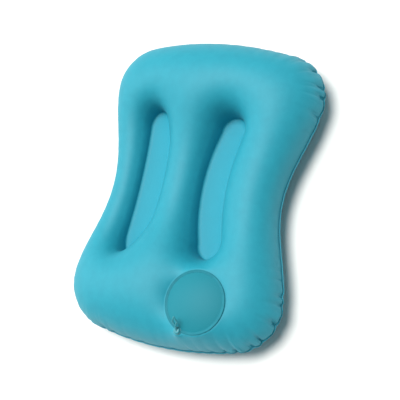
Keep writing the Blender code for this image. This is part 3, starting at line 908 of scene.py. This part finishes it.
class PILLOW_OT_inside(bpy.types.Operator):
    """Finishes of the cup and the check flap inside the pillow"""

    bl_idname = "pillow.inside"
    bl_label = "Inside"

    def execute(self, context):
        film = clear_film("urethane_film")
        for node, slot in (("pump_cup", "cup_film"), ("check_flap", "flap_film")):
            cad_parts[node].data.materials.clear()
            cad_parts[node].data.materials.append(film)
        return {"FINISHED"}


# ---------------------------------------------------------------- stage

FLOOR_SIZE = 60
FLOOR_DROP = 0.0004                     # below the pillow's flats
VIEW_DISTANCE = 1.5
VIEW_SHIFT = Vector((0.0037, -0.0097, 0))   # metres to the right and up, to frame the pillow
VIEW_ELEVATION = math.radians(61.1)
VIEW_BEARING = math.radians(69.7)      # from +X towards +Y
VIEW_ROLL = math.radians(-59.6)
VIEW_LENS = 95.9                        # millimetres
STUDIO_LIGHTS = (                       # degrees from overhead, degrees from +X, softness, strength, colour
    ("overhead", 12, 222, 38, 3.6, (1.0, 0.99, 0.97)),
    ("side", 60, 270, 52, 1.25, (1.0, 0.985, 0.96)),
)


def soft_light(name, tilt, bearing, softness, strength, colour):
    """A distant, wide lamp, so the floor stays as bright far off."""
    data = bpy.data.lights.new(name, "SUN")
    data.angle = math.radians(softness)
    data.energy = strength
    data.color = colour
    made = bpy.data.objects.new(name, data)
    bpy.context.collection.objects.link(made)
    made.rotation_euler = (0, math.radians(tilt), math.radians(bearing))
    return made


class PILLOW_OT_stage(bpy.types.Operator):
    """Pale floor, soft studio light and the camera"""

    bl_idname = "pillow.stage"
    bl_label = "Stage"

    def execute(self, context):
        bpy.ops.mesh.primitive_plane_add(size=FLOOR_SIZE, location=(0, 0, -FLOOR_DROP))
        floor = context.object
        floor.name = "floor"
        made, _, shader = blank("matte_paper")          # studio paper: even and without shine
        shader.inputs["Base Color"].default_value = linear("#F4F4F2")
        shader.inputs["Roughness"].default_value = 0.9
        floor.data.materials.append(made)

        middle = Vector((0, 0, SEAM_HEIGHT))
        away = Vector((math.cos(VIEW_ELEVATION) * math.cos(VIEW_BEARING),
                       math.cos(VIEW_ELEVATION) * math.sin(VIEW_BEARING), math.sin(VIEW_ELEVATION)))
        data = bpy.data.cameras.new("camera")
        data.lens = VIEW_LENS
        data.sensor_width = 36.0
        data.clip_start = 0.05
        camera = bpy.data.objects.new("camera", data)
        context.collection.objects.link(camera)
        turn = away.to_track_quat("Z", "Y").to_matrix() @ Matrix.Rotation(VIEW_ROLL, 3, "Z")
        camera.rotation_euler = turn.to_euler()
        camera.location = middle + away * VIEW_DISTANCE + turn @ VIEW_SHIFT
        context.scene.camera = camera

        for lamp in STUDIO_LIGHTS:
            soft_light(*lamp)
        # A dim sky lights the pillow, and the camera sees a pale one in its place.
        world = bpy.data.worlds.new("studio")
        world.use_nodes = True
        tree = world.node_tree
        dim = tree.nodes["Background"]
        dim.inputs["Color"].default_value = (0.9, 0.97, 1.0, 1.0)
        dim.inputs["Strength"].default_value = 0.2
        pale = add(tree, "ShaderNodeBackground", {"Color": (1.0, 1.0, 1.0, 1.0), "Strength": 0.95})
        seen = add(tree, "ShaderNodeLightPath").outputs["Is Camera Ray"]
        both = add(tree, "ShaderNodeMixShader", (), {0: seen, 1: dim.outputs[0], 2: pale.outputs[0]})
        tree.links.new(both.outputs[0], tree.nodes["World Output"].inputs["Surface"])
        context.scene.world = world
        # The plain transform keeps the knit's saturated colour.
        context.scene.view_settings.view_transform = "Standard"
        return {"FINISHED"}


class PILLOW_PT_panel(bpy.types.Panel):
    """Lists the pieces in the sidebar"""

    bl_label = "Camp pillow"
    bl_idname = "PILLOW_PT_panel"
    bl_space_type = "VIEW_3D"
    bl_region_type = "UI"
    bl_category = "Pillow"

    def draw(self, context):
        for group in (context.scene.pillow_shape, context.scene.pillow_colours):
            for name in group.bl_rna.properties.keys():
                if name not in ("rna_type", "name"):
                    self.layout.prop(group, name)
        for operator in OPERATORS:
            self.layout.operator(operator.bl_idname)


OPERATORS = (PILLOW_OT_skins, PILLOW_OT_pump, PILLOW_OT_valve, PILLOW_OT_inside, PILLOW_OT_stage)
CLASSES = (PillowShape, PillowColours, *OPERATORS, PILLOW_PT_panel)


def register():
    """Adds the classes and their settings to Blender."""
    for kind in CLASSES:
        bpy.utils.register_class(kind)
    bpy.types.Scene.pillow_shape = bpy.props.PointerProperty(type=PillowShape)
    bpy.types.Scene.pillow_colours = bpy.props.PointerProperty(type=PillowColours)


def unregister():
    """Takes them out again."""
    del bpy.types.Scene.pillow_shape
    del bpy.types.Scene.pillow_colours
    for kind in reversed(CLASSES):
        bpy.utils.unregister_class(kind)


def main():
    """Builds every piece."""
    register()
    bpy.ops.pillow.skins()
    bpy.ops.pillow.pump()
    bpy.ops.pillow.valve()
    bpy.ops.pillow.inside()
    bpy.ops.pillow.stage()


if __name__ == "__main__":
    main()
